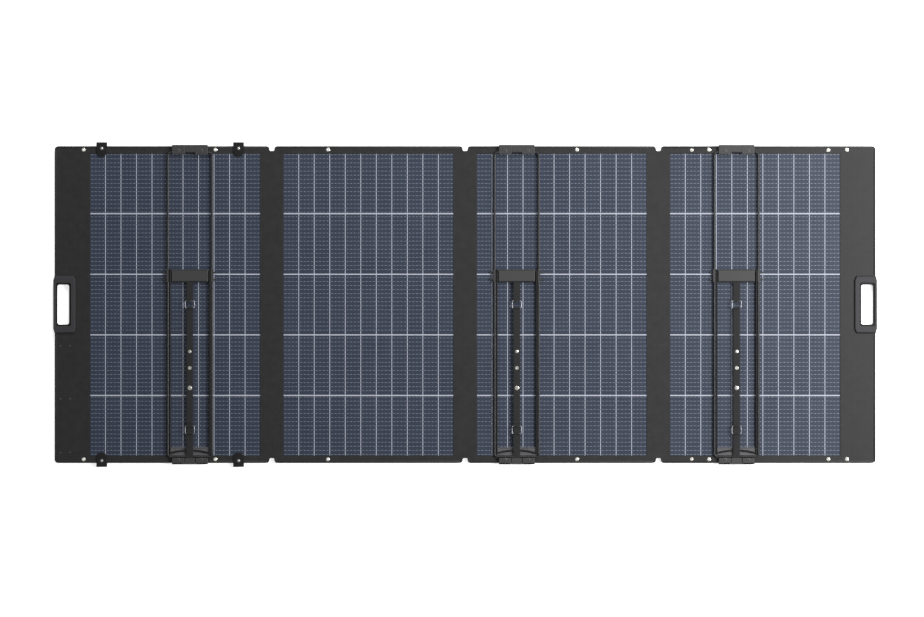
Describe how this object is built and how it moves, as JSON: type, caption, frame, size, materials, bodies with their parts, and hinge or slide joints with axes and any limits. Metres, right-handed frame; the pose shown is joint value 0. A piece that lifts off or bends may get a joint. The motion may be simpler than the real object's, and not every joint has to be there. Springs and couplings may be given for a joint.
{
  "type": "folding solar panel",
  "caption": "Fold-out bifacial solar panel in fabric leaves with wire prop stands, grip handles, eyelets and closure tabs, lying open with its rear side up.",
  "frame": {"origin": "centre of the open panel at the ground, under the lowest face of the handles", "axes": "+X along the row of leaves towards the end with the studs, +Y up the cells towards the top brackets, +Z out of the rear side"},
  "size_m": [2.508, 0.991, 0.0248],
  "materials": {
    "cover_fabric": "woven polyester",
    "clear_film": "clear film",
    "solar_cell": "coated silicon",
    "grid_film": "white film",
    "handle_plastic": "moulded",
    "nickel": "nickel plated",
    "webbing": "ribbed webbing",
    "box_plastic": "moulded",
    "circuit_board": "soldered board",
    "bracket_plastic": "moulded",
    "painted_wire": "powder coated",
    "ring_steel": "nickel plated steel"
  },
  "bodies": {
    "panel_2": {"front_cover_2": "cover_fabric", "rear_cover_2": "cover_fabric", "clear_sheets_2": "clear_film", "cell_strings_2": "solar_cell", "white_grid_2": "grid_film", "fold_strip_1": "cover_fabric", "fold_strip_2": "cover_fabric", "fasteners_2": "nickel"},
    "panel_1": {"front_cover_1": "cover_fabric", "rear_cover_1": "cover_fabric", "clear_sheets_1": "clear_film", "cell_strings_1": "solar_cell", "white_grid_1": "grid_film", "handle_front_1": "handle_plastic", "handle_rear_1": "handle_plastic", "fasteners_1": "nickel", "tab_bases": "webbing", "junction_box": "box_plastic", "junction_board": "circuit_board", "cable_loops": "webbing", "brackets_1": "bracket_plastic", "strap_1": "webbing", "strap_hardware_1": "ring_steel"},
    "panel_3": {"front_cover_3": "cover_fabric", "rear_cover_3": "cover_fabric", "clear_sheets_3": "clear_film", "cell_strings_3": "solar_cell", "white_grid_3": "grid_film", "fold_strip_3": "cover_fabric", "fasteners_3": "nickel", "brackets_3": "bracket_plastic", "strap_3": "webbing", "strap_hardware_3": "ring_steel"},
    "panel_4": {"front_cover_4": "cover_fabric", "rear_cover_4": "cover_fabric", "clear_sheets_4": "clear_film", "cell_strings_4": "solar_cell", "white_grid_4": "grid_film", "handle_front_4": "handle_plastic", "handle_rear_4": "handle_plastic", "fasteners_4": "nickel", "brackets_4": "bracket_plastic", "strap_4": "webbing", "strap_hardware_4": "ring_steel"},
    "flap_1": {"closure_tab_1": "webbing"},
    "flap_2": {"closure_tab_2": "webbing"},
    "flap_3": {"closure_tab_3": "webbing"},
    "flap_4": {"closure_tab_4": "webbing"},
    "stand_1": {"outer_frame_1": "painted_wire", "cross_plate_1": "bracket_plastic"},
    "stand_3": {"outer_frame_3": "painted_wire", "cross_plate_3": "bracket_plastic"},
    "stand_4": {"outer_frame_4": "painted_wire", "cross_plate_4": "bracket_plastic"},
    "brace_1": {"inner_frame_1": "painted_wire", "foot_plate_1": "bracket_plastic"},
    "brace_3": {"inner_frame_3": "painted_wire", "foot_plate_3": "bracket_plastic"},
    "brace_4": {"inner_frame_4": "painted_wire", "foot_plate_4": "bracket_plastic"}
  },
  "joints": [
    {"name": "fold_1", "type": "hinge", "parent": "panel_2", "child": "panel_1", "pos_m": [-0.5886, 0, 0.0065], "axis": [0, 1, 0], "range_deg": [-179, 0]},
    {"name": "fold_2", "type": "hinge", "parent": "panel_2", "child": "panel_3", "pos_m": [0, 0, 0.0186], "axis": [0, 1, 0], "range_deg": [-179, 0]},
    {"name": "fold_3", "type": "hinge", "parent": "panel_3", "child": "panel_4", "pos_m": [0.5886, 0, 0.0065], "axis": [0, -1, 0], "range_deg": [-179, 0]},
    {"name": "stand_1_swing", "type": "hinge", "parent": "panel_1", "child": "stand_1", "pos_m": [-0.838, 0.463, 0.0171], "axis": [-1, 0, 0], "range_deg": [0, 56], "deforming": ["strap_1", "strap_hardware_1"]},
    {"name": "brace_1_swing", "type": "hinge", "parent": "stand_1", "child": "brace_1", "pos_m": [-0.838, 0.1024, 0.0171], "axis": [-1, 0, 0], "range_deg": [0, 90]},
    {"name": "stand_3_swing", "type": "hinge", "parent": "panel_3", "child": "stand_3", "pos_m": [0.157, 0.463, 0.0171], "axis": [-1, 0, 0], "range_deg": [0, 56], "deforming": ["strap_3", "strap_hardware_3"]},
    {"name": "brace_3_swing", "type": "hinge", "parent": "stand_3", "child": "brace_3", "pos_m": [0.157, 0.1024, 0.0171], "axis": [-1, 0, 0], "range_deg": [0, 90]},
    {"name": "stand_4_swing", "type": "hinge", "parent": "panel_4", "child": "stand_4", "pos_m": [0.826, 0.463, 0.0171], "axis": [-1, 0, 0], "range_deg": [0, 56], "deforming": ["strap_4", "strap_hardware_4"]},
    {"name": "brace_4_swing", "type": "hinge", "parent": "stand_4", "child": "brace_4", "pos_m": [0.826, 0.1024, 0.0171], "axis": [-1, 0, 0], "range_deg": [0, 90]},
    {"name": "flap_1_turn", "type": "hinge", "parent": "panel_1", "child": "flap_1", "pos_m": [-0.69, 0.4955, 0.01295], "axis": [-1, 0, 0], "range_deg": [0, 170]},
    {"name": "flap_2_turn", "type": "hinge", "parent": "panel_1", "child": "flap_2", "pos_m": [-0.69, -0.4955, 0.01295], "axis": [1, 0, 0], "range_deg": [0, 170]},
    {"name": "flap_3_turn", "type": "hinge", "parent": "panel_1", "child": "flap_3", "pos_m": [-1.1065, 0.4955, 0.01295], "axis": [-1, 0, 0], "range_deg": [0, 170]},
    {"name": "flap_4_turn", "type": "hinge", "parent": "panel_1", "child": "flap_4", "pos_m": [-1.1065, -0.4955, 0.01295], "axis": [1, 0, 0], "range_deg": [0, 170]}
  ]
}
